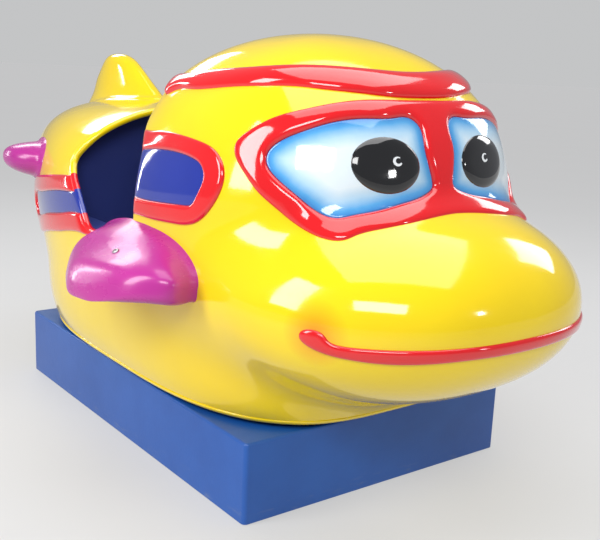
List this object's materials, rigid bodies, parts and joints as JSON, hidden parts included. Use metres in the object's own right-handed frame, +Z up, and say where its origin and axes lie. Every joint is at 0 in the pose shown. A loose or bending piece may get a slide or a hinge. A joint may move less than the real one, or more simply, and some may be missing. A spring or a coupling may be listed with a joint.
{
  "type": "kiddie ride machine",
  "caption": "Coin-operated aeroplane kiddie ride: smiling moulded body with goggles, wings and open cockpit, rocking on a box base with a motor and crank inside.",
  "frame": {"origin": "centre of the base footprint, on the floor", "axes": "+Z up; the nose points along -Y; +X is the right side seen from the nose"},
  "size_m": [1.2868, 2.1319, 1.11],
  "materials": {
    "yellow": "polished yellow gelcoat over glass-fibre laminate",
    "red": "polished red gelcoat, raised trim",
    "window_blue": "polished deep blue painted window light",
    "eye_blue": "white faded to sky blue towards the edges, polished",
    "black": "polished black eye disc with a small white highlight",
    "magenta": "polished magenta gelcoat",
    "base_blue": "satin blue gelcoat",
    "navy": "satin navy gelcoat, slightly uneven",
    "vinyl": "grained dark vinyl",
    "black_plastic": "fine-grained moulded black plastic",
    "green_plastic": "translucent green button cap",
    "red_plastic": "translucent red button cap",
    "frame_paint": "dark grey enamel on welded steel",
    "gear_paint": "green machine enamel on cast iron",
    "motor_paint": "grey enamel on finned aluminium",
    "steel": "machined steel",
    "stainless": "brushed stainless sheet",
    "chrome": "polished chrome plate",
    "bronze": "sintered bronze",
    "iron": "cast iron bearing housing",
    "rubber": "moulded black rubber",
    "wood": "birch plywood under resin",
    "grey_plastic": "light grey moulded plastic",
    "core": "varnished laminated core with wound coil",
    "door_paint": "blue powder coat on sheet steel"
  },
  "bodies": {
    "crank": {"output_shaft": "steel", "crank_arm": "steel", "crank_pin": "steel"},
    "rod": {"connecting_rod": "steel", "rod_bush": "bronze"},
    "wheel": {"steering_wheel": "black_plastic"},
    "button_left": {"start_button_left": "green_plastic"},
    "button_right": {"start_button_right": "red_plastic"},
    "reject": {"reject_button": "chrome"},
    "door": {"service_door": "door_paint", "lock_barrel": "chrome"},
    "cam": {"lock_cam": "steel"},
    "base": {"base_cover": "base_blue", "base_frame": "frame_paint", "drive_plate": "steel", "gearbox_housing": "gear_paint", "drive_motor": "motor_paint", "motor_fan_cover": "black_plastic", "pivot_bearings": "iron", "pivot_stands": "frame_paint", "rubber_buffers": "rubber", "control_box": "grey_plastic", "transformer": "core", "door_hinge": "stainless", "coin_panel": "stainless", "coin_cup": "stainless", "cash_box": "steel", "speaker_grille": "black_plastic", "speaker": "black_plastic", "cable_gland": "black_plastic"},
    "ride": {"body_shell": "yellow", "hull_rim": "yellow", "tail_fin": "yellow", "goggle_frame": "red", "brow_band": "red", "mouth_strip": "red", "eye_panel_left": "eye_blue", "eye_panel_right": "eye_blue", "pupil_left": "black", "pupil_right": "black", "window_front": "window_blue", "window_rear": "window_blue", "window_frame_front": "red", "window_frame_rear": "red", "wing_left": "magenta", "wing_right": "magenta", "tailplane_left": "magenta", "tailplane_right": "magenta", "hull_bulkheads": "wood", "cockpit_tub": "navy", "seat_cushion": "vinyl", "backrest_cushion": "vinyl", "dashboard": "navy", "steering_column": "steel", "button_bezels": "chrome", "ride_pin": "steel", "ride_frame": "frame_paint", "hull_brackets": "steel", "pivot_shaft": "steel"}
  },
  "joints": [
    {"name": "rock", "type": "hinge", "parent": "base", "child": "ride", "pos_m": [0, 0.58, 0.15], "axis": [-1, 0, 0], "range_deg": [0, 4.5]},
    {"name": "crank_turn", "type": "hinge", "parent": "base", "child": "crank", "pos_m": [0.07, -0.25, 0.105], "axis": [1, 0, 0], "range_deg": [0, 180]},
    {"name": "rod_swing", "type": "hinge", "parent": "ride", "child": "rod", "pos_m": [0.106, -0.25, 0.245], "axis": [1, 0, 0], "range_deg": [-12, 12]},
    {"name": "wheel_turn", "type": "hinge", "parent": "ride", "child": "wheel", "pos_m": [0, -0.205, 0.7], "axis": [0, 0.8192, 0.5736], "continuous": true},
    {"name": "start_left", "type": "slide", "parent": "ride", "child": "button_left", "axis": [0, -1, 0], "range_m": [0, 0.004], "stiffness_N_per_m": 300},
    {"name": "start_right", "type": "slide", "parent": "ride", "child": "button_right", "axis": [0, -1, 0], "range_m": [0, 0.004], "stiffness_N_per_m": 300},
    {"name": "coin_return", "type": "slide", "parent": "base", "child": "reject", "axis": [-1, 0, 0], "range_m": [0, 0.005], "stiffness_N_per_m": 300},
    {"name": "door_swing", "type": "hinge", "parent": "base", "child": "door", "pos_m": [0.4285, 0.196, 0.1], "axis": [0, 0, 1], "range_deg": [0, 100]},
    {"name": "lock_turn", "type": "hinge", "parent": "door", "child": "cam", "pos_m": [0.42, -0.16, 0.1], "axis": [1, 0, 0], "range_deg": [0, 90]}
  ],
  "couplings": [
    {"joint": "crank_turn", "follows": "rock", "ratio": 40}
  ]
}
